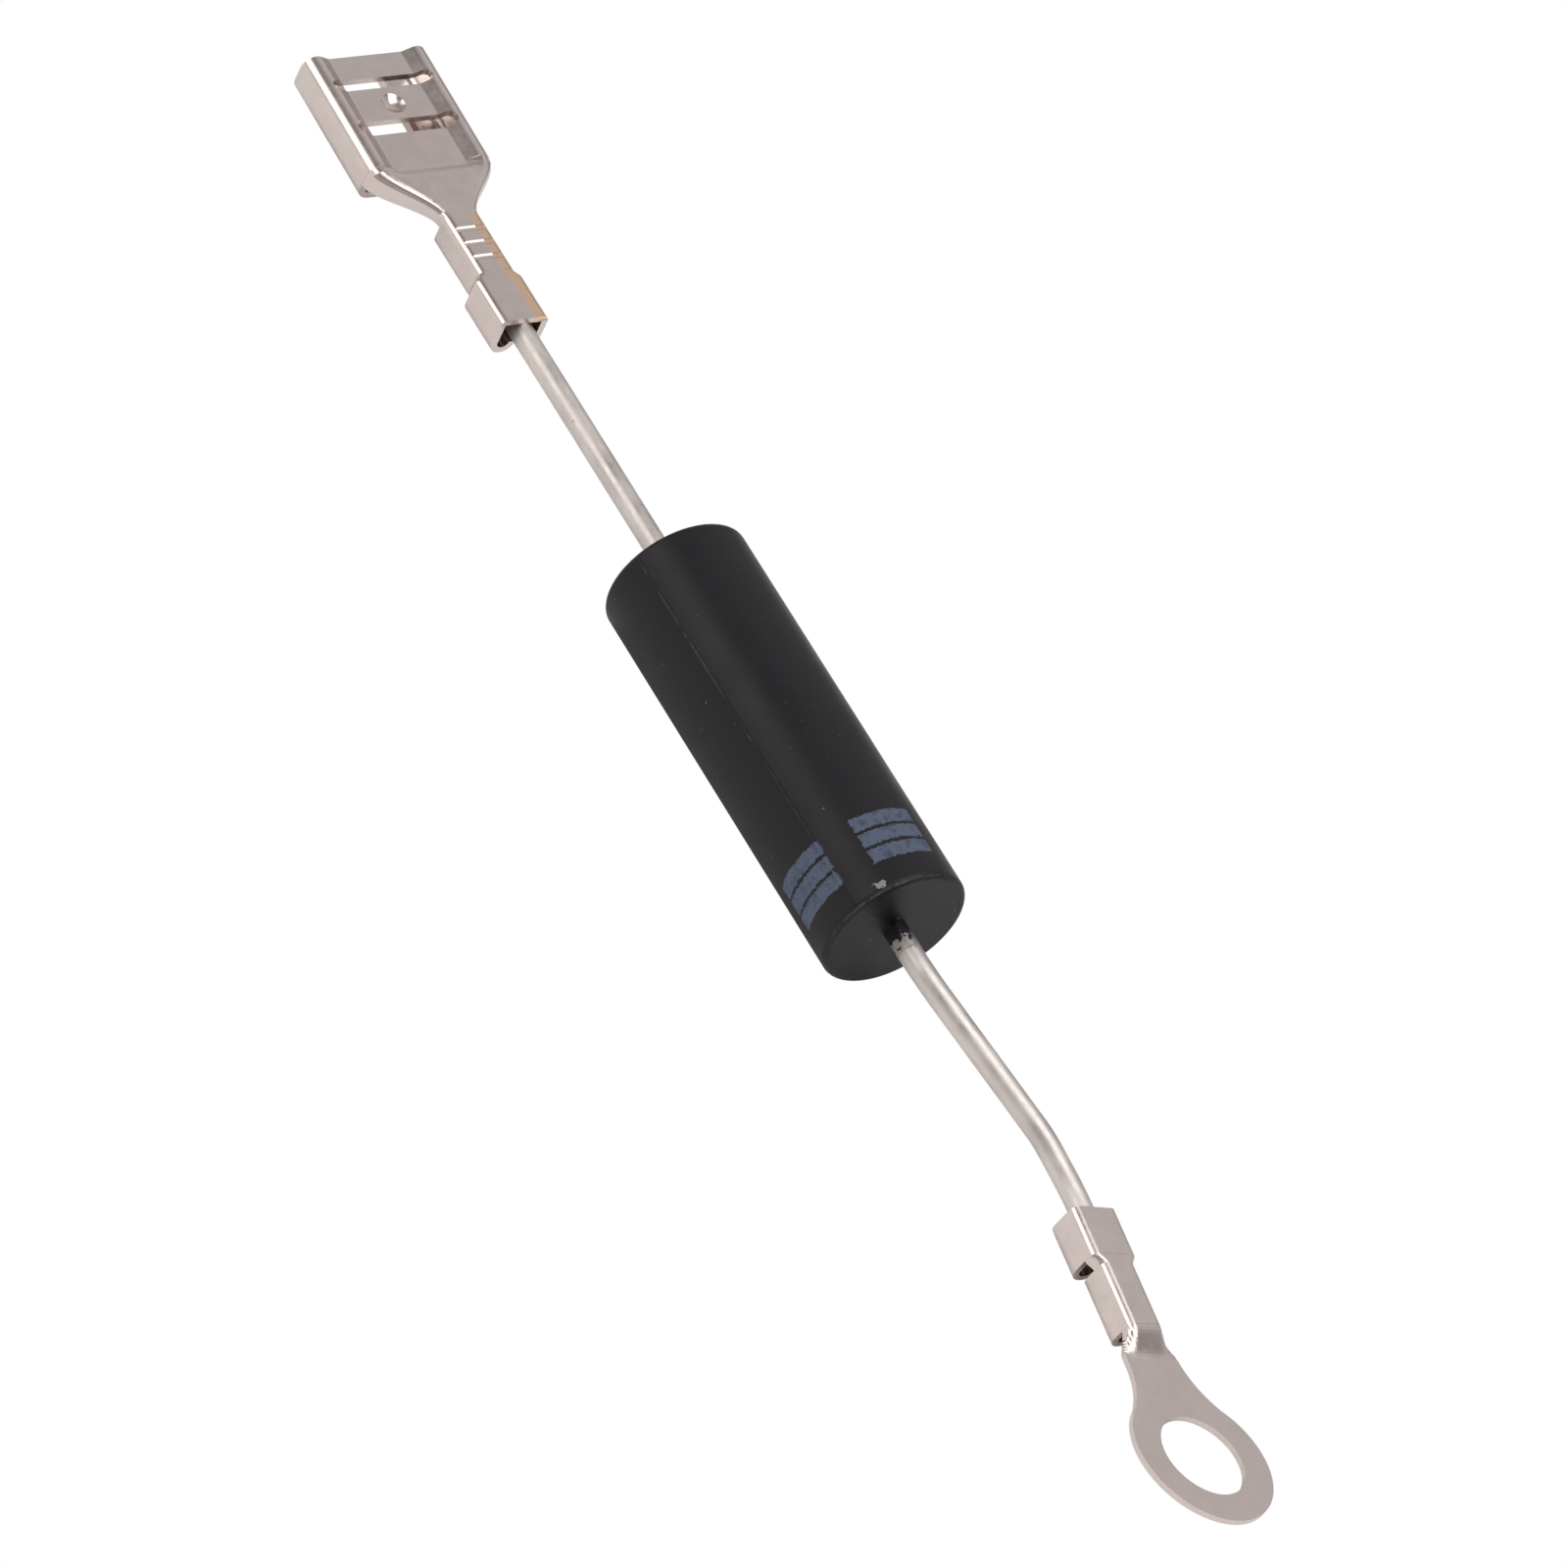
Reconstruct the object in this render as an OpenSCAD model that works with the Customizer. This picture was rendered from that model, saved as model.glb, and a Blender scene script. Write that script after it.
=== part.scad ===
// High-voltage axial rectifier diode. A moulded epoxy case holds a stack of
// silicon dice between two nail-headed leads. The anode lead ends in a push-on
// receptacle and the cathode lead in a ring terminal, both crimped from sheet.
// +X runs along the case towards the cathode, +Z is up, and the origin is the
// middle of the case, on its axis. The diode lies on its case and on the ring
// terminal's barrel, with the base of both terminals turned up.

/* [Case] */
// Diameter of the moulded case
case_d = 7.5; // [6.5:0.1:9]
// Length of the moulded case
case_len = 22.5; // [18:0.5:30]
// Radius round the rims of the case
case_edge_r = 0.3; // [0.1:0.05:0.8]
// Height of the flash that stands along the mould's parting line
flash_h = 0.04; // [0.02:0.01:0.08]
// Width of that flash
flash_w = 0.14; // [0.08:0.02:0.3]
// Turn of the parting line about the case's axis, from level
flash_turn = 22; // [0:1:45]

/* [Leads] */
// Diameter of both leads
lead_d = 1.2; // [0.8:0.05:1.3]
// Diameter of the nail head inside the case
head_d = 3; // [2.4:0.1:3.6]
// Thickness of the nail head
head_t = 0.6; // [0.3:0.1:1.2]
// How far each lead stops short of the far end of its conductor crimp
lead_inset = 0.2; // [0:0.05:0.6]

/* [Die stack] */
// Number of silicon dice in series
die_count = 12; // [4:1:12]
// Side of each square die
die_w = 1.9; // [1:0.1:2.1]
// Thickness of each die
die_t = 0.26; // [0.15:0.01:0.4]
// Thickness of the solder between them
solder_t = 0.06; // [0.03:0.01:0.12]
// Diameter of the silicone that coats the junctions
coating_d = 4.4; // [4:0.1:5.4]
// How far the coating reaches past each nail head
coating_over = 0.5; // [0.2:0.1:1.5]

/* [Crimps] */
// Outer radius of the crimps' shoulders
shoulder_r = 0.42; // [0.4:0.02:0.6]
// Room beside the lead in a conductor crimp
cond_room = 0.12; // [0.05:0.01:0.3]
// Room beside the lead in an insulation crimp
loop_room = 0.45; // [0.4:0.01:0.6]
// Gap in the seam where two wings meet
seam = 0.06; // [0.02:0.01:0.12]
// How deep the conductor wings bite into the lead
wing_bite = 0.16; // [0.05:0.01:0.25]
// Clearance between the wings and the lead
wing_clearance = 0.01; // [0.01:0.01:0.05]
// Length between the two crimps of a barrel
crimp_gap = 0.5; // [0.3:0.05:0.8]
// Depth of the open walls beside the crimps
open_wall = 0.35; // [0.2:0.05:0.5]
// Number of serrations across the receptacle's conductor crimp
serration_count = 3; // [1:1:3]
// Distance between the serrations
serration_pitch = 0.95; // [0.6:0.05:1]
// Radius of the tool that presses a serration
serration_r = 0.3; // [0.2:0.05:0.4]
// Depth of the serrations
serration_depth = 0.06; // [0.02:0.01:0.1]

/* [Cathode lead] */
// From the case to the first bend
cathode_straight = 2.8; // [2:0.1:5]
// Bend radius of the lead's corners
bend_r = 7; // [3:0.5:8]
// Straight run before the ring terminal's barrel
approach_len = 1.3; // [1.1:0.1:1.6]
// From the case to the centre of the ring
ring_out = 29.25; // [28:0.5:40]
// From the case's axis to the centre of the ring, sideways
ring_aside = 2.1; // [1.8:0.1:2.6]

/* [Ring terminal] */
// Thickness of the ring terminal's sheet
ring_t = 0.3; // [0.25:0.01:0.36]
// Diameter of the stud hole
ring_hole_d = 4.5; // [3.2:0.1:5.5]
// Outer diameter of the ring
ring_d = 7.5; // [6.8:0.1:9]
// Width of the neck
ring_neck_w = 3.1; // [2.9:0.1:3.6]
// Radius of the flare between the neck and the ring
ring_flare_r = 5; // [1:0.5:8]
// From the centre of the ring to the conductor crimp
ring_reach = 7.1; // [6.9:0.1:9]
// Length of the formed transition between the crimp and the neck
ring_form_len = 1.5; // [1:0.1:2]
// How far the crimp's base stands above the ring's face
ring_rise = 0.72; // [0.2:0.02:1.2]
// Length of the conductor crimp
ring_cond_len = 3.4; // [2.8:0.1:4.5]
// Length of the insulation crimp
ring_loop_len = 2.6; // [2:0.1:4]
// Slope of the barrel down towards the ring
ring_pitch = 4.8; // [2:0.2:7]
// Turn of the terminal towards the case's axis
ring_yaw = 5.8; // [0:0.2:8]

/* [Anode lead] */
// From the case to the receptacle
anode_run = 16.2; // [8:0.1:30]

/* [Receptacle] */
// Thickness of the receptacle's sheet
recept_t = 0.35; // [0.3:0.01:0.38]
// Width over the rolled sides
recept_w = 7.2; // [6.9:0.1:8.2]
// Height over the rolled sides
recept_h = 2.3; // [2.25:0.05:2.8]
// Length of the rolled sides
recept_len = 7.4; // [7.2:0.1:9]
// Outer radius of the upper edges of the sides
side_r = 0.7; // [0.6:0.05:0.9]
// Outer radius of the lower edges of the sides
roll_r = 0.8; // [0.6:0.05:0.9]
// Gap between the rolled edges
roll_gap = 2.4; // [1.6:0.1:3]
// Thickness of the tab that it takes
tab_t = 0.8; // [0.5:0.05:0.8]
// Clearance over that tab
tab_clearance = 0.05; // [0.02:0.01:0.1]
// Depth of the pressed panel between the sides
press = 0.3; // [0.15:0.01:0.35]
// Slope of that panel's edges
press_slope = 25; // [20:1:35]
// Inner radius of the hollow bend at the foot of those edges
edge_in_r = 0.3; // [0.1:0.05:0.4]
// Outer radius of the round bend at the top of those edges
edge_out_r = 0.6; // [0.4:0.05:0.8]
// Inner radius of the turned-in tips that press on the tab
tip_in_r = 0.15; // [0.1:0.05:0.2]
// Length of the bar across the mouth
front_bar = 1.5; // [1:0.1:1.8]
// Length of the slot behind that bar
front_slot = 0.7; // [0.5:0.05:0.9]
// Length of the spring bar
spring_bar = 2.1; // [1.8:0.1:2.4]
// Length of the slot behind the spring bar
rear_slot = 0.9; // [0.5:0.05:1.2]
// Diameter of the locking dimple
dimple_d = 1.3; // [0.8:0.1:1.6]
// Depth of the locking dimple
dimple_depth = 0.25; // [0.1:0.01:0.3]
// Length of the formed transition between the crimp and the panel
recept_form_len = 3.55; // [3:0.1:5]
// How far the panel's sides stand above the crimp's base
recept_rise = 0.2; // [0:0.05:0.5]
// Length of the conductor crimp
recept_cond_len = 3.8; // [2.8:0.1:4.5]
// Length of the insulation crimp
recept_loop_len = 2.8; // [2:0.1:4]
// Sideways set of the insulation crimp
recept_loop_set = 0.1; // [0:0.05:0.4]
// Roll of the receptacle about its lead
recept_roll = 12; // [0:1:15]
// Rise of the box towards its mouth
recept_pitch = 1.7; // [0:0.1:5]

/* [Hidden] */
$fn = 64;
case_r = case_d / 2;
lead_r = lead_d / 2;
floor_z = -case_r;

// The stack is centred in the case, with solder first and last.
stack_pitch = die_t + solder_t;
stack_len = die_count * stack_pitch + solder_t;
head_r = head_d / 2;
coating_r = coating_d / 2;
coating_half = stack_len / 2 + head_t + coating_over;

// Both barrels run from the lead's entry to the end of the conductor crimp.
ring_barrel_len = ring_loop_len + crimp_gap + ring_cond_len;
recept_barrel_len = recept_loop_len + crimp_gap + recept_cond_len;
ring_base = lead_r + ring_t;
recept_base = lead_r + recept_t;

// The flare beside the ring is an arc that leaves the neck at flare_x and just crosses the ring.
flare_cross = 0.02;
ring_r = ring_d / 2;
neck_half = ring_neck_w / 2;
flare_x = -sqrt(pow(ring_r + ring_flare_r - flare_cross, 2) - pow(neck_half + ring_flare_r, 2));
form_x = ring_form_len - ring_reach;
form_half = form_x < flare_x ? neck_half
    : neck_half + ring_flare_r - sqrt(pow(ring_flare_r, 2) - pow(form_x - flare_x, 2));

// The ring terminal stands on the far end of its conductor crimp.
ring_crimp_h = ring_base - wings_bottom(cond_width(ring_t), wing_bite);
ring_z = floor_z + ring_crimp_h * cos(ring_pitch) - ring_rise - ring_t;
ring_at = [case_len / 2 + ring_out, ring_aside, ring_z];

// The cathode lead's corners. The middle one lies at these shares of the way
// from the first to the last, along the case, sideways and down.
middle_shares = [0.75, 0.86, 0.71];
approach = ring_point(barrel_point(-approach_len));
case_end = case_len / 2;
first_bend = [case_end + cathode_straight, 0, 0];
middle_way = approach - first_bend;
middle_bend = first_bend + [for (k = [0:2]) middle_shares[k] * middle_way[k]];
cathode_route = [
    [stack_len / 2 + head_t / 2, 0, 0],
    first_bend,
    middle_bend,
    approach,
    ring_point(barrel_point(ring_barrel_len - lead_inset)),
];
anode_route = [
    [-stack_len / 2 - head_t / 2, 0, 0],
    [-case_end - anode_run - recept_barrel_len + lead_inset, 0, 0],
];

// The pressed panel's edge is a hollow curve, a slope and a round curve.
edge_slope_len = (press - (edge_in_r + edge_out_r) * (1 - cos(press_slope))) / sin(press_slope);
edge_run = (edge_in_r + edge_out_r) * sin(press_slope) + edge_slope_len * cos(press_slope);
ridge_half = recept_w / 2 - side_r;
panel_half = ridge_half - edge_run;
tip_r = recept_t + tip_in_r;
tip_len = recept_h - tip_r - press - recept_t - tab_t - tab_clearance;

// The transition's walls meet the box this deep, and its panel sinks over its last quarter.
form_wall = recept_h / 4;
sink_from = 0.75;

// Each formed transition laps its neighbours, a hair inside their faces.
lap = 0.02;
inset = 0.01;
form_steps = 10;
gap_steps = 4;
bend_steps = 6;

// How far the bending tool swells the lead where a bend starts and ends.
bend_swell = 0.006;

tinned = [0.72, 0.69, 0.67];
wire_grey = [0.63, 0.61, 0.58];
epoxy = [0.09, 0.09, 0.1];

function numbered(name, i) = str(name, i < 10 ? "_0" : "_", i);
function unit(v) = v / norm(v);
function smooth(s) = s * s * (3 - 2 * s);
function mix(a, b, s) = a + (b - a) * s;

// Widths of the two crimps on a sheet of thickness t.
function cond_width(t) = lead_d + 2 * (t + cond_room);
function loop_width(t) = lead_d + 2 * (t + loop_room);

// Radius of a wing's curl, and the height of its lowest point from the lead's axis.
function curl_r(w) = (w - seam) / 4;
function wings_bottom(w, bite) = bite - lead_r - wing_clearance - curl_r(w);

// A point of the ring terminal's barrel, x along the lead's axis from its entry.
function barrel_point(x, z = 0) = [
    (x - ring_barrel_len) * cos(ring_pitch) + (z - ring_base) * sin(ring_pitch) - ring_reach,
    0,
    (ring_barrel_len - x) * sin(ring_pitch) + (z - ring_base) * cos(ring_pitch) + ring_t + ring_rise,
];
// A point of the ring terminal in the whole model's frame.
function ring_point(p) = ring_at + [
    p.x * cos(ring_yaw) + p.y * sin(ring_yaw),
    p.y * cos(ring_yaw) - p.x * sin(ring_yaw),
    p.z,
];

module along_x(from, length) {
    translate([from, 0, 0]) rotate([90, 0, 90]) linear_extrude(length) children();
}

module rod_x(from, to, r) {
    translate([from, 0, 0]) rotate([0, 90, 0]) cylinder(h = to - from, r = r);
}

// ---- Lead: straights joined by arcs, each drawn in the frame where the last one ends ----

function heading(p, i) = unit(p[i + 1] - p[i]);
function turn(p, i) = i == 0 || i == len(p) - 1 ? 0 : acos(heading(p, i - 1) * heading(p, i));
function setback(p, i) = bend_r * tan(turn(p, i) / 2);
// The frame's X axis, turned until the lead bends away from it.
function bend_axis(d, next) = -unit(next - (next * d) * d);

module bend_mark() {
    sphere(lead_r + bend_swell);
}

// Draws the lead along Z from corner i, in a frame whose X axis lies along x_axis.
module wire(p, x_axis, i = 0) {
    length = norm(p[i + 1] - p[i]) - setback(p, i) - setback(p, i + 1);
    cylinder(h = length, r = lead_r);
    if (i < len(p) - 2) {
        d = heading(p, i);
        by = turn(p, i + 1);
        axis = bend_axis(d, heading(p, i + 1));
        swing = atan2(axis * cross(d, x_axis), axis * x_axis);
        translate([0, 0, length]) rotate([0, 0, swing]) {
            bend_mark();
            translate([-bend_r, 0, 0]) {
                rotate([90, 0, 0]) rotate_extrude(angle = by) translate([bend_r, 0]) circle(lead_r);
                rotate([0, -by, 0]) translate([bend_r, 0, 0]) {
                    bend_mark();
                    wire(p, cos(by) * axis + sin(by) * d, i + 1);
                }
            }
        }
    }
}

// The groove that the conductor wings press into the lead.
module bite(t, barrel_len, cond_len) {
    half = t + seam / 2 + wing_clearance;
    depth = wing_bite + wing_clearance;
    translate([barrel_len - cond_len - wing_clearance, -half, -lead_r - depth])
        cube([cond_len + 2 * wing_clearance, 2 * half, 2 * depth]);
}

module lead_shape(route, side) {
    translate(route[0]) rotate([0, 90 * side, 0]) wire(route, [0, 0, -side]);
    rod_x(side * (stack_len / 2 + head_t / 2) - head_t / 2,
          side * (stack_len / 2 + head_t / 2) + head_t / 2, head_r);
}

module anode_lead() {
    color(wire_grey) difference() {
        lead_shape(anode_route, -1);
        on_anode() bite(recept_t, recept_barrel_len, recept_cond_len);
    }
}

module cathode_lead() {
    color(wire_grey) difference() {
        lead_shape(cathode_route, 1);
        on_ring() on_ring_barrel() bite(ring_t, ring_barrel_len, ring_cond_len);
    }
}

// ---- Case, coating and stack ----

module coating_shape() {
    end_r = coating_r - head_r / 2;
    rotate([0, 90, 0]) rotate_extrude() intersection() {
        union() {
            translate([0, end_r - coating_half]) square([coating_r, 2 * (coating_half - end_r)]);
            for (s = [-1, 1])
                translate([coating_r - end_r, s * (coating_half - end_r)]) circle(end_r);
            translate([0, -coating_half]) square([coating_r - end_r, 2 * coating_half]);
        }
        translate([0, -coating_half]) square([coating_r, 2 * coating_half]);
    }
}

module case() {
    color(epoxy) difference() {
        union() {
            rotate([0, 90, 0]) rotate_extrude() {
                square_r = case_r - case_edge_r;
                translate([0, -case_len / 2]) square([square_r, case_len]);
                translate([0, case_edge_r - case_len / 2]) square([case_r, case_len - 2 * case_edge_r]);
                for (s = [-1, 1])
                    translate([square_r, s * (case_len / 2 - case_edge_r)]) circle(case_edge_r);
            }
            rotate([-flash_turn, 0, 0])
                translate([case_edge_r - case_len / 2, -case_r - flash_h, -flash_w / 2])
                    cube([case_len - 2 * case_edge_r, case_d + 2 * flash_h, flash_w]);
        }
        coating_shape();
        rod_x(-case_len, case_len, lead_r);
    }
}

module junction_coating() {
    color([0.85, 0.85, 0.8]) difference() {
        coating_shape();
        rod_x(-coating_half - 1, coating_half + 1, lead_r);
        rod_x(-stack_len / 2 - head_t, -stack_len / 2, head_r);
        rod_x(stack_len / 2, stack_len / 2 + head_t, head_r);
        translate([-stack_len / 2, -die_w / 2, -die_w / 2]) cube([stack_len, die_w, die_w]);
    }
}

module plate(from, thickness) {
    translate([from, -die_w / 2, -die_w / 2]) cube([thickness, die_w, die_w]);
}

module die(i) {
    color([0.35, 0.36, 0.4]) plate((i - 1) * stack_pitch + solder_t - stack_len / 2, die_t);
}

module solder(i) {
    color([0.7, 0.72, 0.74]) plate((i - 1) * stack_pitch - stack_len / 2, solder_t);
}

// ---- Folded sheet ----

module sector(r, from, to) {
    polygon(concat([[0, 0]], [for (k = [0:4]) let (a = mix(from, to, k / 4)) 2 * r * [cos(a), sin(a)]]));
}

module band(outer, inner, from, to) {
    intersection() {
        difference() {
            circle(outer);
            circle(inner);
        }
        sector(outer, from, to);
    }
}

// The section of a sheet along a folded path. Each step is a length, or a pair
// of an outer radius and an angle, which is negative where the fold is hollow.
module fold(steps, t, i = 0) {
    if (i < len(steps)) {
        step = steps[i];
        if (is_num(step)) {
            translate([0, -t]) square([step, t]);
            translate([step, 0]) fold(steps, t, i + 1);
        } else if (step[1] > 0) {
            r = step[0];
            translate([0, -r]) {
                band(r, r - t, 90 - step[1], 90);
                rotate(-step[1]) translate([0, r]) fold(steps, t, i + 1);
            }
        } else {
            r = step[0];
            translate([0, r]) {
                band(r + t, r, -90, -90 - step[1]);
                rotate(-step[1]) translate([0, -r]) fold(steps, t, i + 1);
            }
        }
    }
}

// Where a path ends, and its heading there.
function path_end(steps, i = 0, at = [0, 0], heading = 0) =
    i == len(steps) ? [at.x, at.y, heading]
    : is_num(steps[i]) ? path_end(steps, i + 1, at + steps[i] * [cos(heading), sin(heading)], heading)
    : let (r = steps[i][0] * sign(steps[i][1]), to = heading - steps[i][1])
      path_end(steps, i + 1, at + r * [sin(heading) - sin(to), cos(to) - cos(heading)], to);

// A section that is the same on both sides, drawn in one run from its left end.
module fold_both(steps, t) {
    end = path_end(steps);
    translate([-end.x, end.y]) rotate(-end.z) fold(concat(reversed(steps), steps), t);
}

// The section of a crimp: base, shoulders, walls, and wings that curl under the lead.
module crimp_section(w, t, bite_depth) {
    curl = curl_r(w);
    wall = lead_r + t - shoulder_r - wings_bottom(w, bite_depth) - curl;
    translate([0, lead_r + t])
        fold_both([w / 2 - shoulder_r, [shoulder_r, 90], wall, [curl, 180]], t);
}

// A point of a bend that starts flat, a given way along its outer face and a depth in.
function bend_point(run, angle, depth) =
    let (chord = angle == 0 ? run : run * sin(angle / 2) / (angle / 2 * PI / 180))
    chord * [cos(angle / 2), -sin(angle / 2)] - depth * [sin(angle), cos(angle)];

// One half of an open section's outer or inner face: panel, edge, bend and wall.
function half_face(flat, ridge, drop, run, by, wall, depth) = concat(
    [[flat, -drop - depth]],
    [for (k = [0:bend_steps]) [ridge, 0] + bend_point(run * k / bend_steps, by * k / bend_steps, depth)],
    [[ridge, 0] + bend_point(run, by, depth) + wall * [cos(by), -sin(by)]]);
function mirrored(points) = [for (p = points) [-p.x, p.y]];
function reversed(points) = [for (i = [len(points) - 1:-1:0]) points[i]];
function open_section(flat, ridge, drop, run, by, wall, t) =
    let (outer = half_face(flat, ridge, drop, run, by, wall - inset, inset),
         inner = half_face(flat, ridge, drop, run, by, wall - inset, t - inset))
    concat(mirrored(reversed(outer)), outer, reversed(inner), mirrored(inner));

// Stands a section at a point, with its plane tilted down towards +X.
function stand(section, at, tilt = 0) =
    [for (p = section) at + [p.y * sin(tilt), p.x, p.y * cos(tilt)]];

function two(a, b, c, d) = [[a, b, c], [a, c, d]];

// A skin over a row of open sections. Each end is a strip between its two faces.
module loft(rings) {
    n = len(rings[0]);
    last = (len(rings) - 1) * n;
    polyhedron(
        points = [for (ring = rings) each ring],
        faces = concat(
            [for (j = [0:n / 2 - 2]) each two(j, n - 1 - j, n - 2 - j, j + 1)],
            [for (j = [0:n / 2 - 2]) each two(last + j, last + j + 1, last + n - 2 - j, last + n - 1 - j)],
            [for (i = [0:n:last - n], j = [0:n - 1])
                each two(i + j, i + (j + 1) % n, i + n + (j + 1) % n, i + n + j)]));
}

// A barrel from the lead's entry at x = 0, with the lead's axis along X.
module barrel(t, loop_len, cond_len, loop_set, serrations) {
    loop_w = loop_width(t);
    cond_w = cond_width(t);
    top = lead_r + t;
    cond_x = loop_len + crimp_gap;
    translate([0, loop_set, 0]) along_x(0, loop_len) crimp_section(loop_w, t, 0);
    loft([for (k = [0:gap_steps])
        let (s = smooth(k / gap_steps), ridge = mix(loop_w, cond_w, s) / 2 - shoulder_r)
        stand(open_section(ridge / 2, ridge, 0, shoulder_r * PI / 2, 90, open_wall, t),
              [loop_len - lap + (crimp_gap + 2 * lap) * k / gap_steps, loop_set * (1 - s), top])]);
    difference() {
        along_x(cond_x, cond_len) crimp_section(cond_w, t, wing_bite);
        for (k = [1:1:serrations])
            translate([cond_x + cond_len - k * serration_pitch, 0, top + serration_r - serration_depth])
                rotate([90, 0, 0]) cylinder(h = cond_w, r = serration_r, center = true);
    }
}

// ---- Ring terminal ----

module on_ring() {
    translate(ring_at) rotate([0, 0, -ring_yaw]) children();
}

module on_ring_barrel() {
    translate(barrel_point(0)) rotate([0, ring_pitch, 0]) children();
}

module ring_outline() {
    touch = ring_r / (ring_r + ring_flare_r) * [flare_x, neck_half + ring_flare_r];
    difference() {
        union() {
            circle(ring_r);
            intersection() {
                both_flares(touch);
                translate([form_x, -ring_r]) square([-form_x, ring_d]);
            }
        }
        circle(d = ring_hole_d);
    }
}

module both_flares(touch) {
    start_x = min(flare_x, form_x);
    difference() {
        polygon([[start_x, -neck_half], [flare_x, -neck_half], [touch.x, -touch.y], [0, 0],
                 touch, [flare_x, neck_half], [start_x, neck_half]]);
        for (s = [-1, 1])
            translate([flare_x, s * (neck_half + ring_flare_r)]) circle(ring_flare_r);
    }
}

// The crimp's channel unfolds into the flat neck.
module ring_form() {
    ridge = cond_width(ring_t) / 2 - shoulder_r;
    run = shoulder_r * PI / 2;
    loft([for (k = [0:form_steps])
        let (s = smooth(k / form_steps))
        stand(open_section(ridge / 2, ridge, 0, run, 90 * (1 - s), form_half - ridge - run, ring_t),
              [form_x + lap - (ring_form_len + 2 * lap) * (1 - k / form_steps), 0,
               ring_t + ring_rise * (1 - s)],
              ring_pitch * (1 - s))]);
}

module ring_terminal() {
    color(tinned) on_ring() {
        linear_extrude(ring_t) ring_outline();
        ring_form();
        on_ring_barrel() barrel(ring_t, ring_loop_len, ring_cond_len, 0, 0);
    }
}

// ---- Receptacle ----

module on_anode() {
    translate([-case_end - anode_run, 0, 0]) rotate([0, 0, 180]) rotate([-recept_roll, 0, 0])
        children();
}

module box_section() {
    floor_run = recept_w / 2 - roll_r - roll_gap / 2 - tip_r;
    translate([0, -press]) fold_both([
        panel_half,
        [edge_in_r, -press_slope],
        edge_slope_len,
        [edge_out_r, press_slope],
        [side_r, 90],
        recept_h - side_r - roll_r,
        [roll_r, 90],
        floor_run,
        [tip_r, 90],
        tip_len,
    ], recept_t);
}

// A slot across the panel with round ends, behind the given place.
module panel_slot(mouth_x, length) {
    depth = press + recept_t + tab_t / 2;
    translate([recept_len - mouth_x - length / 2, 0, -depth]) {
        translate([-length / 2, length / 2 - ridge_half, 0])
            cube([length, 2 * ridge_half - length, 2 * depth]);
        for (s = [-1, 1])
            translate([0, s * (ridge_half - length / 2), 0]) cylinder(h = 2 * depth, d = length);
    }
}

module dimple_ball(mouth_x, extra) {
    ball_r = (pow(dimple_d / 2, 2) + pow(dimple_depth, 2)) / (2 * dimple_depth);
    translate([recept_len - mouth_x, 0, ball_r - dimple_depth - press]) sphere(ball_r + extra);
}

// The rolled box, from its rear end at x = 0 to its mouth.
module box() {
    dimple_x = front_bar + front_slot + spring_bar / 2;
    difference() {
        union() {
            along_x(0, recept_len) box_section();
            intersection() {
                dimple_ball(dimple_x, recept_t);
                translate([recept_len - dimple_x, 0, -press - recept_t / 2 - tab_t])
                    cylinder(h = tab_t, d = 2 * dimple_d);
            }
        }
        panel_slot(front_bar, front_slot);
        panel_slot(front_bar + front_slot + spring_bar, rear_slot);
        dimple_ball(dimple_x, 0);
    }
}

// The panel narrows and its edges fold down until it is the crimp's channel.
module recept_form() {
    crimp_ridge = cond_width(recept_t) / 2 - shoulder_r;
    loft([for (k = [0:form_steps])
        let (u = k / form_steps,
             s = smooth(u),
             ridge = mix(crimp_ridge, ridge_half, s),
             sunk = smooth(max(0, (u - sink_from) / (1 - sink_from))))
        stand(open_section(ridge - mix(crimp_ridge / 2, edge_run, s), ridge, press * sunk,
                           mix(shoulder_r, side_r, s) * PI / 2, 90,
                           mix(open_wall, form_wall, s), recept_t),
              [(recept_form_len + 2 * lap) * u - lap, 0, recept_rise * s],
              -recept_pitch * s)]);
}

module receptacle() {
    color(tinned) on_anode() {
        barrel(recept_t, recept_loop_len, recept_cond_len, recept_loop_set, serration_count);
        translate([recept_barrel_len, 0, recept_base]) {
            recept_form();
            translate([recept_form_len, 0, recept_rise]) rotate([0, -recept_pitch, 0]) box();
        }
    }
}

case();
anode_lead();
cathode_lead();
junction_coating();
for (i = [1:die_count]) die(i);
for (i = [1:die_count + 1]) solder(i);
receptacle();
ring_terminal();
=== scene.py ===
"""Looks for the axial rectifier diode: materials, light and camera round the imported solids."""

import math

import bpy
from mathutils import Matrix, Vector

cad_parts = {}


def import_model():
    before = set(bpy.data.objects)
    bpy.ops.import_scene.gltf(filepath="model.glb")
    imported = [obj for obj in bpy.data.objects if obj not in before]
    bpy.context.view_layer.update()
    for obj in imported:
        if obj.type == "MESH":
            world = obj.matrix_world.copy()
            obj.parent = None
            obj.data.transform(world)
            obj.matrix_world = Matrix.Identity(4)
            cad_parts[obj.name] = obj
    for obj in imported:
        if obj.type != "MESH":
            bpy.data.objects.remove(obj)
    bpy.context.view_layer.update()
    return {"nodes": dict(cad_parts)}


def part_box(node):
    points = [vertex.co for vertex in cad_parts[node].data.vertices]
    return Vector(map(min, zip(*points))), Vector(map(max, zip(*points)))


MM = 0.001

# Printed polarity bars: bars a group, and groups spaced round the cathode end from the top.
BARS = 3
GROUPS = 4
BAR_WIDTH = 0.76 * MM
BAR_PITCH = 0.945 * MM
BAR_END_INSET = 1.55 * MM
BAR_SPAN = math.radians(52)
GROUP_PITCH = math.radians(77.5)
GROUP_OFFSET = math.radians(-14.5)
INK_RAG = 0.34 * MM
INK_RAG_ROUND = 0.09

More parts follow.
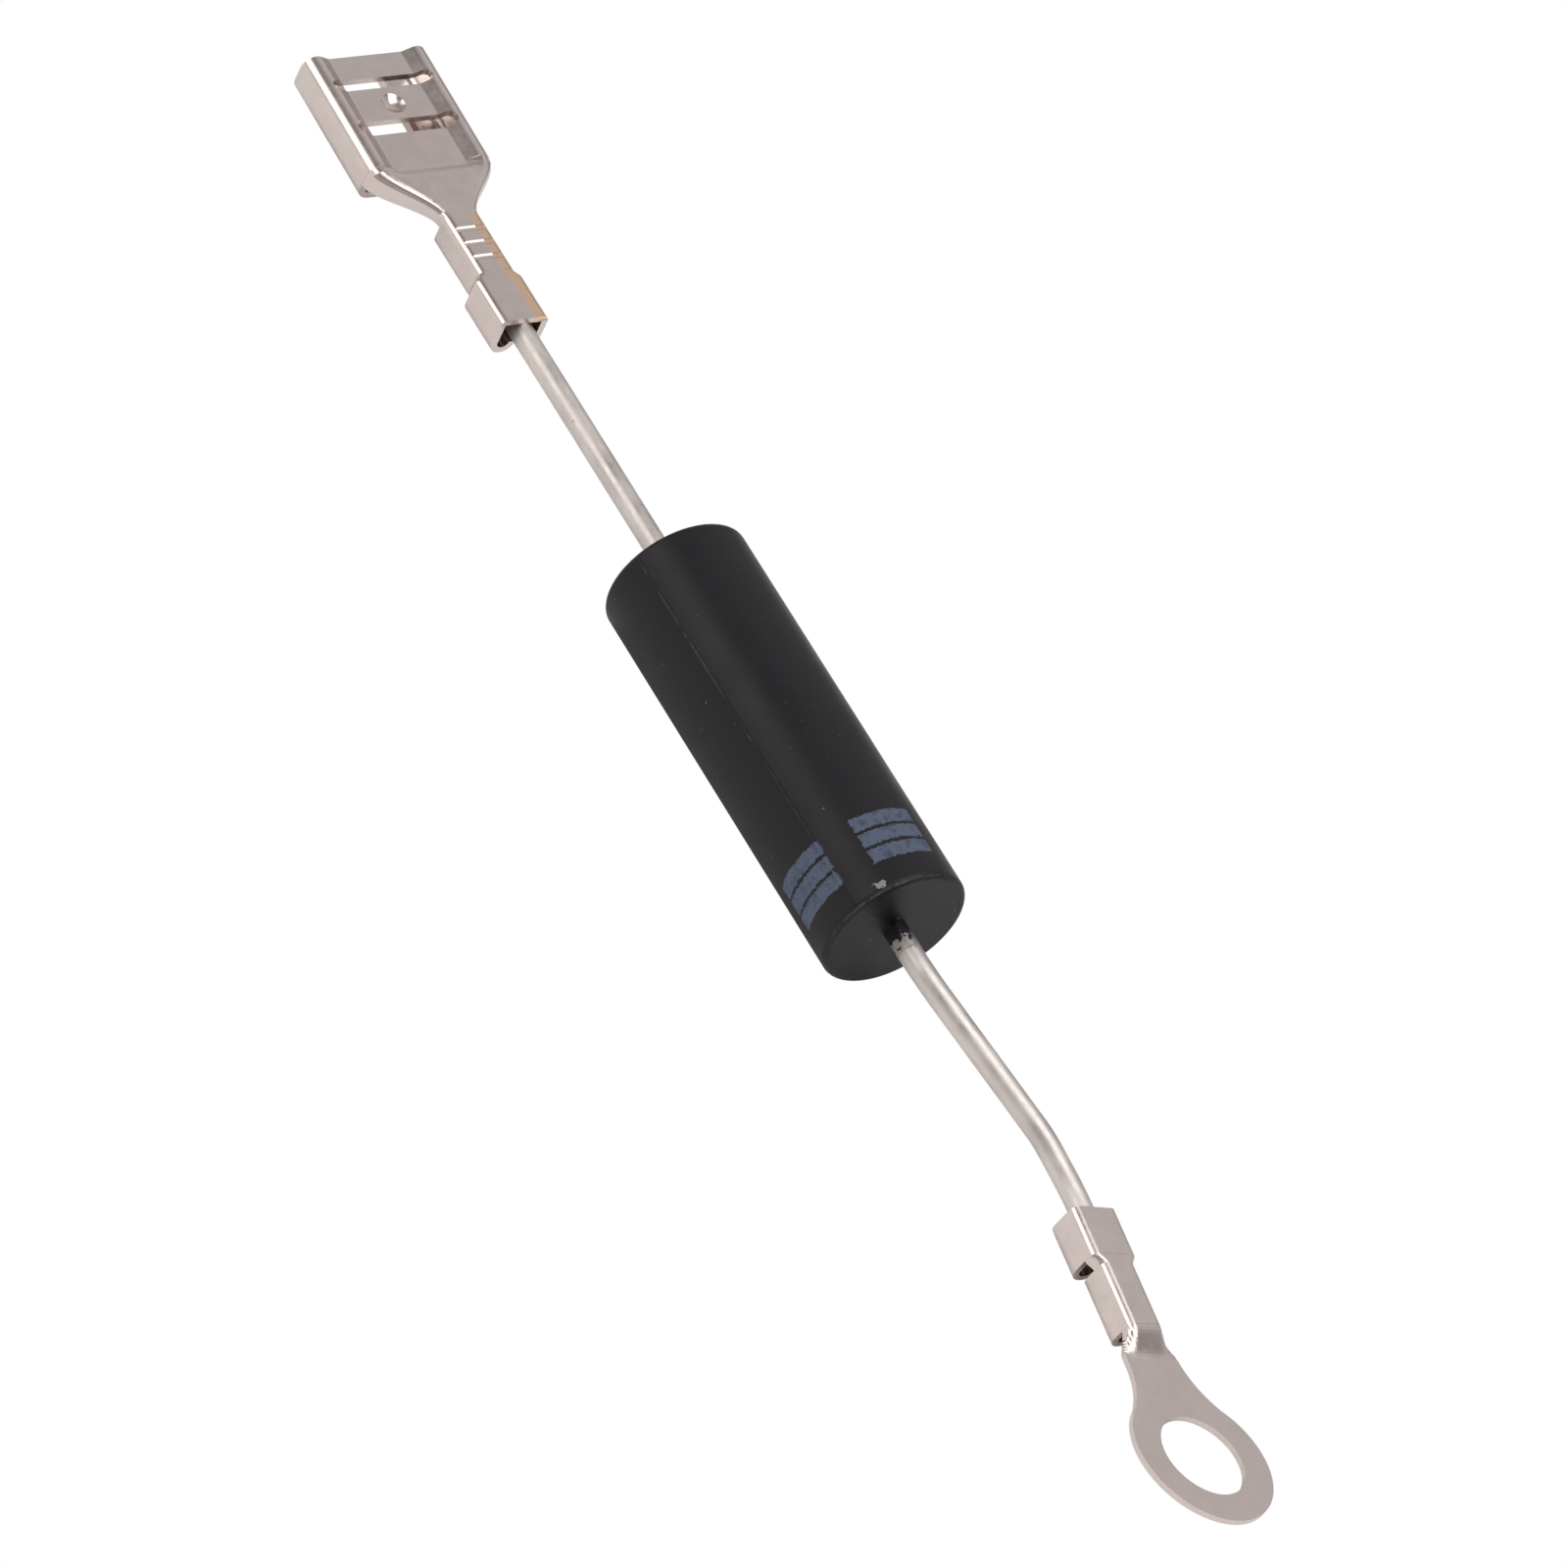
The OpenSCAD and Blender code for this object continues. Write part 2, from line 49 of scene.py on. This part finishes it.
# Linear colours.
EPOXY = (0.0130, 0.0116, 0.0142)
EPOXY_DARK = (0.0030, 0.0028, 0.0030)
DUST = (0.30, 0.30, 0.31)
INK = (0.101, 0.129, 0.196)
WIRE = (0.80, 0.745, 0.71)
SHEET = (0.78, 0.695, 0.660)
# A painted warm reflection for the receptacle's crimp shoulder.
WARM_REFLECTION_TINT = (0.86, 0.63, 0.44)
SILICON = (0.10, 0.10, 0.12)
SOLDER = (0.52, 0.53, 0.55)
COATING = (0.75, 0.74, 0.70)
FLOOR = (0.86, 0.85, 0.84)

# How dark the metals' patches turn, and how rough their surfaces are.
WIRE_MOTTLE = 0.20
SHEET_MOTTLE = 0.06
WIRE_ROUGH = 0.44
RING_ROUGH = 0.22
RECEPTACLE_ROUGH = 0.20

# The parting line's angle from the top towards +Y, and half the width of its pale edge.
PARTING_ANGLE = math.radians(-68)
PARTING_WIDTH = math.radians(0.9)

# A chip beside the rim at the cathode end, by its angle from the top towards +Y.
CHIP_ANGLE = math.radians(-45)
CHIP_INSET = 0.45 * MM
CHIP_SIZE = 0.21 * MM
CHIP_RAG = 1.1 * MM

# The receptacle's roll about its lead, and where the crimps and their painted warm reflection start and
# end.
RECEPTACLE_ROLL = math.radians(12)
LOOP_CRIMP_END = -30.4 * MM
CRIMPS_END = -34.6 * MM
STRIP_IN_LOOP = 0.42 * MM
STRIP_IN_CONDUCTOR = 0.30 * MM
STRIP_SLOPE = 0.12
STRIP_LOWEST = 0.62 * MM

# The studio's tone overhead and low down, and the floor's own glow.
STUDIO_HIGH = (0.24, 0.23, 0.235)
STUDIO_LOW = (0.46, 0.435, 0.42)
FLOOR_GLOW = (0.09, 0.09, 0.09)

# Soft glows that the part mirrors: direction, half angle in degrees, strength and colour.
# The first lies in the upward faces, the next is a dark card that keeps the case's far side black,
# the third lights the edges near the viewer and the last the slopes towards the ring.
GLOWS = (
    ((-0.40, 0.66, 0.62), 50, 0.27, (1.0, 0.98, 0.97)),
    ((-0.49, 0.87, 0.06), 30, -0.30, (1.0, 0.98, 0.94)),
    ((-0.49, -0.72, 0.48), 26, 1.9, (1.0, 0.98, 0.95)),
    ((0.80, 0.10, 0.55), 30, 0.8, (1.0, 0.99, 0.98)),
)

# The soft box over the part: its place and side in metres, and its power in watts.
LIGHT_AT = (0.05, 0.0, 0.50)
LIGHT_SIDE = 0.45
LIGHT_POWER = 1.1

# The viewpoint: what the camera aims at, and how it stands round that, turned from -Y towards +X.
CAMERA_TARGET = Vector((0.2, 1.4, -2.1)) * MM
CAMERA_DISTANCE = 415 * MM
CAMERA_AZIMUTH = math.radians(35.46)
CAMERA_ELEVATION = math.radians(32.23)
CAMERA_ROLL = math.radians(37.23)
CAMERA_ANGLE = math.radians(10.16)


class Tree:
    """A small helper that adds and links shader nodes."""

    def __init__(self, tree):
        self.tree = tree

    def add(self, kind, inputs=None, **settings):
        node = self.tree.nodes.new(kind)
        for key, value in settings.items():
            setattr(node, key, value)
        for key, value in (inputs or {}).items():
            self.put(node.inputs[key], value)
        return node

    def put(self, socket, value):
        if isinstance(value, bpy.types.NodeSocket):
            self.tree.links.new(value, socket)
        elif hasattr(value, "__len__") and len(value) == 3 and socket.type == "RGBA":
            socket.default_value = (*value, 1.0)
        else:
            socket.default_value = value

    def math(self, operation, a, b=None, c=None, clamp=False):
        node = self.add("ShaderNodeMath", operation=operation, use_clamp=clamp)
        for socket, value in zip(node.inputs, (a, b, c)):
            if value is not None:
                self.put(socket, value)
        return node.outputs[0]

    def noise(self, at, scale, detail=4.0, roughness=0.55, stretch=None):
        if stretch:
            at = self.add("ShaderNodeMapping", {"Vector": at, "Scale": stretch}).outputs[0]
        return self.add(
            "ShaderNodeTexNoise",
            {"Vector": at, "Scale": scale, "Detail": detail, "Roughness": roughness},
        ).outputs["Fac"]

    def ramp(self, value, low, high, to_low=0.0, to_high=1.0):
        return self.add(
            "ShaderNodeMapRange",
            {"Value": value, "From Min": low, "From Max": high, "To Min": to_low, "To Max": to_high},
        ).outputs[0]

    def mix(self, factor, a, b):
        node = self.add("ShaderNodeMix", data_type="RGBA")
        self.put(node.inputs["Factor"], factor)
        self.put(node.inputs["A"], a)
        self.put(node.inputs["B"], b)
        return node.outputs["Result"]

    def bump(self, height, distance, strength=1.0, normal=None):
        inputs = {"Height": height, "Distance": distance, "Strength": strength}
        if normal is not None:
            inputs["Normal"] = normal
        return self.add("ShaderNodeBump", inputs).outputs[0]


def new_material(name):
    """A material with a Principled shader, and the helper for its tree."""
    material = bpy.data.materials.new(name)
    material.use_nodes = True
    tree = Tree(material.node_tree)
    return material, tree, material.node_tree.nodes["Principled BSDF"]


def object_place(tree):
    """The point being shaded, in the part's own frame, in metres."""
    return tree.add("ShaderNodeTexCoord").outputs["Object"]


def bars_mask(tree, place, cathode_end):
    """One where the polarity bars are printed, with slightly ragged ink edges."""
    axes = tree.add("ShaderNodeSeparateXYZ", {"Vector": place})
    rag = tree.math("SUBTRACT", tree.noise(place, 5200, 3, 0.6), 0.5)
    along = tree.math("SUBTRACT", cathode_end - BAR_END_INSET, axes.outputs["X"])
    along = tree.math("ADD", along, tree.math("MULTIPLY", rag, INK_RAG))
    in_bar = tree.math("LESS_THAN", tree.math("MODULO", along, BAR_PITCH), BAR_WIDTH)
    in_row = tree.math("MULTIPLY", tree.math("GREATER_THAN", along, 0.0),
                       tree.math("LESS_THAN", along, BARS * BAR_PITCH))
    angle = tree.math("ARCTAN2", axes.outputs["Y"], axes.outputs["Z"])
    angle = tree.math("ADD", angle, tree.math("MULTIPLY", rag, INK_RAG_ROUND))
    mask = None
    for k in range(GROUPS):
        centre = GROUP_OFFSET + (k - GROUPS // 2) * GROUP_PITCH
        away = tree.math("ABSOLUTE", tree.math("SUBTRACT", angle, centre))
        away = tree.math("MINIMUM", away, tree.math("SUBTRACT", 2 * math.pi, away))
        group = tree.math("LESS_THAN", away, BAR_SPAN / 2)
        mask = group if mask is None else tree.math("MAXIMUM", mask, group)
    return tree.math("MULTIPLY", tree.math("MULTIPLY", in_bar, in_row), mask)


def end_marks(tree, place, end, radius):
    """The chip and worn line on the cathode end's rim, and the flux stain below the chip."""
    axes = tree.add("ShaderNodeSeparateXYZ", {"Vector": place})
    x, y, z = (axes.outputs[k] for k in "XYZ")
    rough = tree.math("SUBTRACT", tree.noise(place, 3700, 4, 0.7), 0.5)
    angle = tree.math("ABSOLUTE", tree.math("SUBTRACT", tree.math("ARCTAN2", y, z), CHIP_ANGLE))
    chip_at = Vector((end - CHIP_INSET, radius * math.sin(CHIP_ANGLE), radius * math.cos(CHIP_ANGLE)))
    from_chip = tree.add("ShaderNodeVectorMath", operation="DISTANCE")
    tree.put(from_chip.inputs[0], place)
    from_chip.inputs[1].default_value = chip_at
    ragged = tree.math("ADD", from_chip.outputs["Value"], tree.math("MULTIPLY", rough, CHIP_RAG))
    chip = tree.math("LESS_THAN", ragged, CHIP_SIZE)
    at_rim = tree.ramp(x, end - 0.20 * MM, end - 0.08 * MM)
    squared = tree.math("ADD", tree.math("MULTIPLY", y, y), tree.math("MULTIPLY", z, z))
    on_side = tree.ramp(tree.math("SQRT", squared), radius - 0.16 * MM, radius - 0.06 * MM)
    worn = tree.math("MULTIPLY", tree.math("MULTIPLY", at_rim, on_side), tree.ramp(angle, 1.3, 0.4))
    worn = tree.math("MULTIPLY", worn, tree.ramp(rough, -0.12, 0.12, 0.02, 0.32))
    spread = tree.math("ADD", angle, tree.math("MULTIPLY", tree.noise(place, 700, 2, 0.5), 0.25))
    stain = tree.math("MULTIPLY", tree.ramp(spread, 0.52, 0.18, 0.0, 0.85),
                      tree.ramp(x, end - 0.1 * MM, end))
    return tree.math("MAXIMUM", tree.math("MULTIPLY", chip, 0.9), worn), stain


def parting_line(tree, place):
    """The flash's edge, rubbed pale here and there."""
    axes = tree.add("ShaderNodeSeparateXYZ", {"Vector": place})
    angle = tree.math("ARCTAN2", axes.outputs["Y"], axes.outputs["Z"])
    away = tree.math("ABSOLUTE", tree.math("SUBTRACT", angle, PARTING_ANGLE))
    line = tree.ramp(away, PARTING_WIDTH, PARTING_WIDTH / 3)
    rubbed = tree.ramp(tree.noise(place, 900, 4, 0.7), 0.45, 0.70, 0.0, 0.22)
    return tree.math("MULTIPLY", line, rubbed)


def epoxy(cathode_end, radius):
    """Black moulding compound with its printed bars, specks, fine scratches and end marks."""
    material, tree, shader = new_material("epoxy")
    place = object_place(tree)
    bars = bars_mask(tree, place, cathode_end)
    worn = tree.ramp(tree.noise(place, 2600, 5, 0.7), 0.34, 0.50)
    ink = tree.math("MULTIPLY", bars, tree.ramp(worn, 0, 1, 0.5, 1.0))
    specks = tree.ramp(tree.noise(place, 3000, 2, 0.5), 0.745, 0.80, 0.0, 0.5)
    scratch = tree.noise(place, 500, 3, 0.6, stretch=(0.3, 8, 8))
    scratched = tree.ramp(scratch, 0.72, 0.80, 0.0, 0.06)
    pale, stain = end_marks(tree, place, cathode_end, radius)
    pale = tree.math("MAXIMUM", pale, tree.math("MAXIMUM", specks, scratched))
    pale = tree.math("MAXIMUM", pale, parting_line(tree, place))
    body = tree.mix(pale, tree.mix(stain, EPOXY, EPOXY_DARK), DUST)
    tree.put(shader.inputs["Base Color"], tree.mix(ink, body, INK))
    haze = tree.noise(place, 260, 4, 0.6)
    rough = tree.ramp(haze, 0.3, 0.7, 0.36, 0.46)
    tree.put(shader.inputs["Roughness"], tree.math("ADD", rough, tree.math("MULTIPLY", ink, 0.15)))
    tree.put(shader.inputs["Specular IOR Level"], tree.ramp(stain, 0, 1, 0.26, 0.10))
    peel = tree.bump(tree.noise(place, 2400, 3, 0.5), 0.010 * MM, 0.4)
    print_edge = tree.bump(ink, 0.008 * MM, 0.5, peel)
    tree.put(shader.inputs["Normal"], tree.bump(pale, 0.02 * MM, 0.5, print_edge))
    return material


def metal(name, colour, mottle, rough, grain=None, strip=None):
    """Tinned metal: a mottled tone, uneven gloss and a fine bump.

    grain stretches the patches along an axis; strip tilts a part of the surface and paints a reflection
    on it.
    """
    material, tree, shader = new_material(name)
    place = object_place(tree)
    patch = tree.noise(place, 900, 3, 0.55, stretch=grain)
    fine = tree.noise(place, 3200, 1, 0.5)
    dark = tuple(c * (1 - mottle) for c in colour)
    tone = tree.mix(tree.ramp(patch, 0.35, 0.65), dark, colour)
    facing = None
    if strip:
        tone, facing = strip(tree, place, tone)
    tree.put(shader.inputs["Base Color"], tone)
    shader.inputs["Metallic"].default_value = 1.0
    gloss = tree.math("ADD", tree.ramp(patch, 0.3, 0.7, rough * 0.85, rough * 1.2),
                      tree.ramp(fine, 0.3, 0.7, -0.03, 0.05))
    tree.put(shader.inputs["Roughness"], gloss)
    low = tree.bump(patch, 0.010 * MM, 0.20, facing)
    tree.put(shader.inputs["Normal"], tree.bump(fine, 0.002 * MM, 0.20, low))
    return material


def painted_warm_reflection(tree, place, tone):
    """The receptacle's crimps slope off along their far side, tinted brassy by a painted warm
    reflection.
    """
    axes = tree.add("ShaderNodeSeparateXYZ", {"Vector": place})
    cos_roll, sin_roll = math.cos(RECEPTACLE_ROLL), math.sin(RECEPTACLE_ROLL)
    across = tree.math("ADD", tree.math("MULTIPLY", axes.outputs["Y"], cos_roll),
                       tree.math("MULTIPLY", axes.outputs["Z"], sin_roll))
    above = tree.math("SUBTRACT", tree.math("MULTIPLY", axes.outputs["Z"], cos_roll),
                      tree.math("MULTIPLY", axes.outputs["Y"], sin_roll))
    in_loop = tree.math("GREATER_THAN", axes.outputs["X"], LOOP_CRIMP_END)
    start = tree.ramp(in_loop, 0, 1, STRIP_IN_CONDUCTOR, STRIP_IN_LOOP)
    past = tree.math("MAXIMUM", tree.math("SUBTRACT", across, start), 0.0)
    past = tree.math("MULTIPLY", past, tree.math("GREATER_THAN", axes.outputs["X"], CRIMPS_END))
    past = tree.math("MULTIPLY", past, tree.ramp(above, STRIP_LOWEST, STRIP_LOWEST + 0.1 * MM))
    fall = tree.math("MULTIPLY", past, -STRIP_SLOPE)
    # The brassy tint is a painted warm reflection; the bump only tilts the shading.
    return tree.mix(tree.ramp(past, 0.0, 0.06 * MM), tone, WARM_REFLECTION_TINT), tree.bump(fall, 1.0)


def lead_metal(name, case_end):
    """Solder-dipped wire, with dark flecks of moulding compound close to the case."""
    material = metal(name, WIRE, WIRE_MOTTLE, WIRE_ROUGH, grain=(0.5, 1, 1))
    tree = Tree(material.node_tree)
    shader = material.node_tree.nodes["Principled BSDF"]
    place = object_place(tree)
    x = tree.math("ABSOLUTE", tree.add("ShaderNodeSeparateXYZ", {"Vector": place}).outputs["X"])
    near = tree.ramp(x, case_end + 0.1 * MM, case_end + 1.5 * MM, 0.42, 0.0)
    fleck = tree.math("GREATER_THAN", tree.math("ADD", tree.noise(place, 2300, 3, 0.6), near), 0.72)
    tone = shader.inputs["Base Color"].links[0].from_socket
    tree.put(shader.inputs["Base Color"], tree.mix(fleck, tone, EPOXY))
    tree.put(shader.inputs["Metallic"], tree.math("SUBTRACT", 1.0, fleck))
    return material


def plain(name, colour, roughness, metallic=0.0):
    """A finely speckled finish for the sealed inner pieces."""
    material, tree, shader = new_material(name)
    speck = tree.noise(object_place(tree), 1500, 3, 0.6)
    tree.put(shader.inputs["Base Color"],
             tree.mix(tree.ramp(speck, 0.35, 0.65), tuple(c * 0.85 for c in colour), colour))
    tree.put(shader.inputs["Roughness"], tree.ramp(speck, 0.3, 0.7, roughness - 0.06, roughness + 0.06))
    tree.put(shader.inputs["Normal"], tree.bump(speck, 0.004 * MM, 0.4))
    shader.inputs["Metallic"].default_value = metallic
    return material


def dress(node, material):
    """Gives a CAD node its material and a smooth shade that keeps its edges."""
    node.data.materials.clear()
    node.data.materials.append(material)
    smooth(node)


def smooth(piece):
    """Shades smoothly across faces that meet at under 30 degrees."""
    piece.data.polygons.foreach_set("use_smooth", [True] * len(piece.data.polygons))
    piece.data.update()
    piece.data.set_sharp_from_angle(angle=math.radians(30))


def make_world():
    """White to the camera, and a soft studio round the part for light and reflections."""
    world = bpy.data.worlds.new("studio")
    bpy.context.scene.world = world
    world.use_nodes = True
    tree = Tree(world.node_tree)
    world.node_tree.nodes.clear()
    out = tree.add("ShaderNodeOutputWorld")
    way = tree.add("ShaderNodeTexCoord").outputs["Generated"]
    height = tree.add("ShaderNodeSeparateXYZ", {"Vector": way}).outputs["Z"]
    tone = tree.mix(tree.ramp(height, -0.1, 0.9), STUDIO_LOW, STUDIO_HIGH)
    for direction, half_angle, strength, colour in GLOWS:
        tone = add_glow(tree, way, tone, direction, half_angle, strength, colour)
    lit = tree.add("ShaderNodeBackground", {"Color": tone, "Strength": 1.0})
    white = tree.add("ShaderNodeBackground", {"Color": (1, 1, 1), "Strength": 1.0})
    path = tree.add("ShaderNodeLightPath")
    pick = tree.add("ShaderNodeMixShader",
                    {0: path.outputs["Is Camera Ray"], 1: lit.outputs[0], 2: white.outputs[0]})
    tree.put(out.inputs["Surface"], pick.outputs[0])


def add_glow(tree, way, tone, direction, half_angle, strength, colour):
    """Adds a round soft glow to the studio's tone."""
    facing = tree.add("ShaderNodeVectorMath", operation="DOT_PRODUCT")
    tree.put(facing.inputs[0], way)
    facing.inputs[1].default_value = Vector(direction).normalized()
    edge = math.cos(math.radians(half_angle))
    glow = tree.add("ShaderNodeMapRange", {"Value": facing.outputs["Value"], "From Min": edge,
                                           "From Max": 1.0, "To Min": 0.0, "To Max": strength},
                    interpolation_type="SMOOTHSTEP").outputs[0]
    added = tree.add("ShaderNodeMix", data_type="RGBA", blend_type="ADD")
    added.clamp_factor = False
    tree.put(added.inputs["Factor"], glow)
    tree.put(added.inputs["A"], tone)
    tree.put(added.inputs["B"], colour)
    return added.outputs["Result"]


def make_floor(height):
    """A plain pale floor, which the camera sees as white from above and not at all from below."""
    bpy.ops.mesh.primitive_plane_add(size=2.0, location=(0, 0, height))
    floor = bpy.context.object
    floor.name = "floor"
    material, tree, shader = new_material("floor_white")
    tree.put(shader.inputs["Base Color"], FLOOR)
    tree.put(shader.inputs["Roughness"], 0.9)
    tree.put(shader.inputs["Emission Color"], FLOOR_GLOW)
    shader.inputs["Emission Strength"].default_value = 1.0
    glow = tree.add("ShaderNodeEmission", {"Color": (1, 1, 1), "Strength": 1.0})
    path = tree.add("ShaderNodeLightPath")
    pick = tree.add("ShaderNodeMixShader",
                    {0: path.outputs["Is Camera Ray"], 1: shader.outputs[0], 2: glow.outputs[0]})
    clear = tree.add("ShaderNodeBsdfTransparent")
    below = tree.add("ShaderNodeNewGeometry").outputs["Backfacing"]
    sided = tree.add("ShaderNodeMixShader", {0: below, 1: pick.outputs[0], 2: clear.outputs[0]})
    tree.put(material.node_tree.nodes["Material Output"].inputs["Surface"], sided.outputs[0])
    floor.data.materials.append(material)


def make_light():
    """A square soft box over the part, facing its middle."""
    data = bpy.data.lights.new("overhead", "AREA")
    data.shape = "SQUARE"
    data.size = LIGHT_SIDE
    data.energy = LIGHT_POWER
    light = bpy.data.objects.new("overhead", data)
    light.location = LIGHT_AT
    light.rotation_euler = (-Vector(LIGHT_AT)).to_track_quat("-Z", "Y").to_euler()
    bpy.context.scene.collection.objects.link(light)


def make_camera():
    """The photograph's viewpoint."""
    data = bpy.data.cameras.new("camera")
    data.sensor_fit = "HORIZONTAL"
    data.angle = CAMERA_ANGLE
    data.clip_start = 0.01
    data.clip_end = 10
    camera = bpy.data.objects.new("camera", data)
    bpy.context.scene.collection.objects.link(camera)
    turn = (Matrix.Rotation(CAMERA_AZIMUTH, 4, "Z")
            @ Matrix.Rotation(math.pi / 2 - CAMERA_ELEVATION, 4, "X")
            @ Matrix.Rotation(CAMERA_ROLL, 4, "Z"))
    away = Matrix.Translation((0, 0, CAMERA_DISTANCE))
    camera.matrix_world = Matrix.Translation(CAMERA_TARGET) @ turn @ away
    bpy.context.scene.camera = camera


def main():
    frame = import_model()
    nodes = frame["nodes"]
    case_low, case_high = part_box("case")
    lead = lead_metal("lead_wire", case_high.x)
    ring_sheet = metal("tinned_sheet", SHEET, SHEET_MOTTLE, RING_ROUGH)
    receptacle_sheet = metal("tinned_sheet_receptacle", SHEET, SHEET_MOTTLE, RECEPTACLE_ROUGH,
                             strip=painted_warm_reflection)
    silicon = plain("silicon", SILICON, 0.3)
    solder = plain("solder", SOLDER, 0.35, metallic=1.0)
    looks = {
        "case": epoxy(case_high.x, case_high.z),
        "anode_lead": lead,
        "cathode_lead": lead,
        "receptacle": receptacle_sheet,
        "ring_terminal": ring_sheet,
        "junction_coating": plain("coating", COATING, 0.45),
    }
    for name, node in nodes.items():
        dress(node, looks.get(name) or (silicon if name.startswith("die") else solder))
    make_world()
    make_floor(case_low.z)
    make_light()
    make_camera()
    bpy.context.scene.view_settings.view_transform = "Standard"


main()
